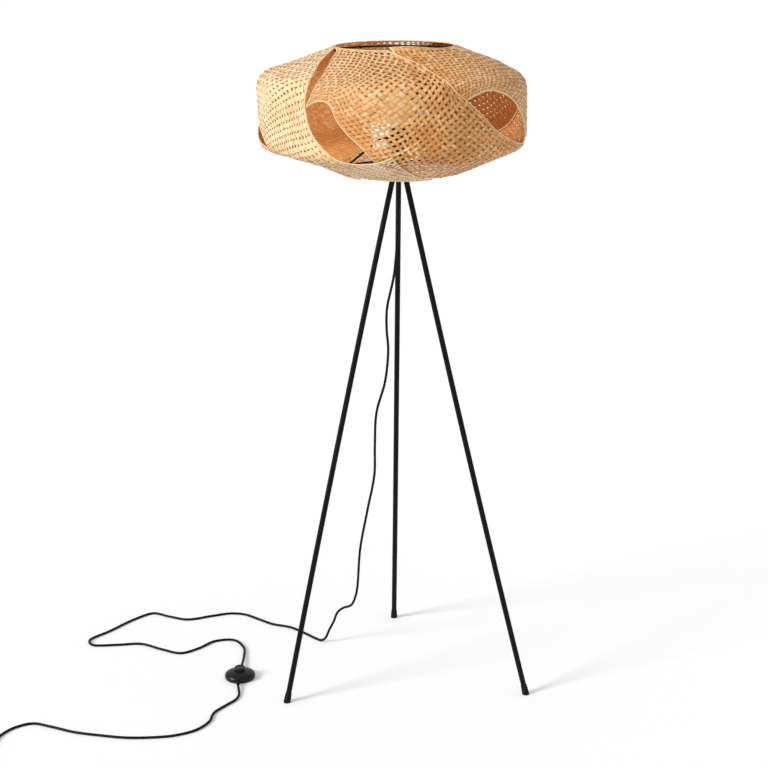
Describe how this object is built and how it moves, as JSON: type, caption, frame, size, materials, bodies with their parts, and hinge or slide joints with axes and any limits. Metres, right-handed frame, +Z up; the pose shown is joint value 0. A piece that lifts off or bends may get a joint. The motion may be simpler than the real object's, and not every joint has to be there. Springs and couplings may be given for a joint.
{
  "type": "floor lamp",
  "caption": "Floor lamp: a lantern of overlapping woven bamboo ribbons on slim straight black tube legs, with mains cord, in-line foot switch and plug.",
  "frame": {"origin": "floor level, at the middle of the box that the lamp fills without its cord", "axes": "+Z up; -Y towards the viewer of the front, where the front ribbon's middle faces; the cord runs off towards -X"},
  "size_m": [1.3093, 0.7832, 1.4969],
  "materials": {
    "bamboo": "satin split bamboo strip, plain weave",
    "black_steel": "satin black powder coat",
    "zinc_steel": "bright zinc plate",
    "black_rubber": "matt",
    "black_plastic": "semi-gloss moulded",
    "cord_jacket": "smooth flexible jacket",
    "white_insulator": "glazed",
    "brass": "plain",
    "bulb_glass": "opal",
    "black_tie": "satin"
  },
  "bodies": {
    "lamp": {"leg_back": "black_steel", "leg_left": "black_steel", "leg_right": "black_steel", "foot_cap_back": "black_rubber", "foot_cap_left": "black_rubber", "foot_cap_right": "black_rubber", "leg_stud_back": "zinc_steel", "leg_stud_left": "zinc_steel", "leg_stud_right": "zinc_steel", "leg_insert_back": "zinc_steel", "leg_insert_left": "zinc_steel", "leg_insert_right": "zinc_steel", "leg_hub": "black_steel", "nipple": "zinc_steel", "nipple_nut": "zinc_steel", "holder_cup": "black_plastic", "holder_sleeve": "black_plastic", "shade_ring_lower": "black_plastic", "shade_ring_upper": "black_plastic", "holder_insulator": "white_insulator", "centre_contact": "brass", "bulb_cap": "zinc_steel", "bulb_glass": "bulb_glass", "ribbon_front": "bamboo", "ribbon_right": "bamboo", "ribbon_back_right": "bamboo", "ribbon_back_left": "bamboo", "ribbon_left": "bamboo", "top_ring": "black_steel", "fitter_frame": "black_steel", "top_tie_1": "black_tie", "top_tie_2": "black_tie", "top_tie_3": "black_tie", "top_tie_4": "black_tie", "top_tie_5": "black_tie", "bottom_tie_1": "black_tie", "bottom_tie_2": "black_tie", "bottom_tie_3": "black_tie", "bottom_tie_4": "black_tie", "bottom_tie_5": "black_tie", "cord_relief": "black_rubber", "cord_inner": "cord_jacket", "cord_drop": "cord_jacket", "cord_run": "cord_jacket", "cord_coil": "cord_jacket", "coil_tie": "black_tie", "plug_relief": "black_rubber", "plug_body": "black_plastic", "plug_pin_left": "zinc_steel", "plug_pin_right": "zinc_steel", "switch_base": "black_plastic", "switch_cover": "black_plastic", "switch_spring": "zinc_steel", "switch_mechanism": "white_insulator", "switch_screw_left": "zinc_steel", "switch_screw_right": "zinc_steel", "switch_relief_in": "black_rubber", "switch_relief_out": "black_rubber"},
    "button": {"switch_button": "black_plastic"}
  },
  "joints": [
    {"name": "button_press", "type": "slide", "parent": "lamp", "child": "button", "axis": [0, 0, -1], "range_m": [0, 0.003], "stiffness_N_per_m": 600, "springref_m": -0.001, "deforming": ["switch_spring"]}
  ]
}
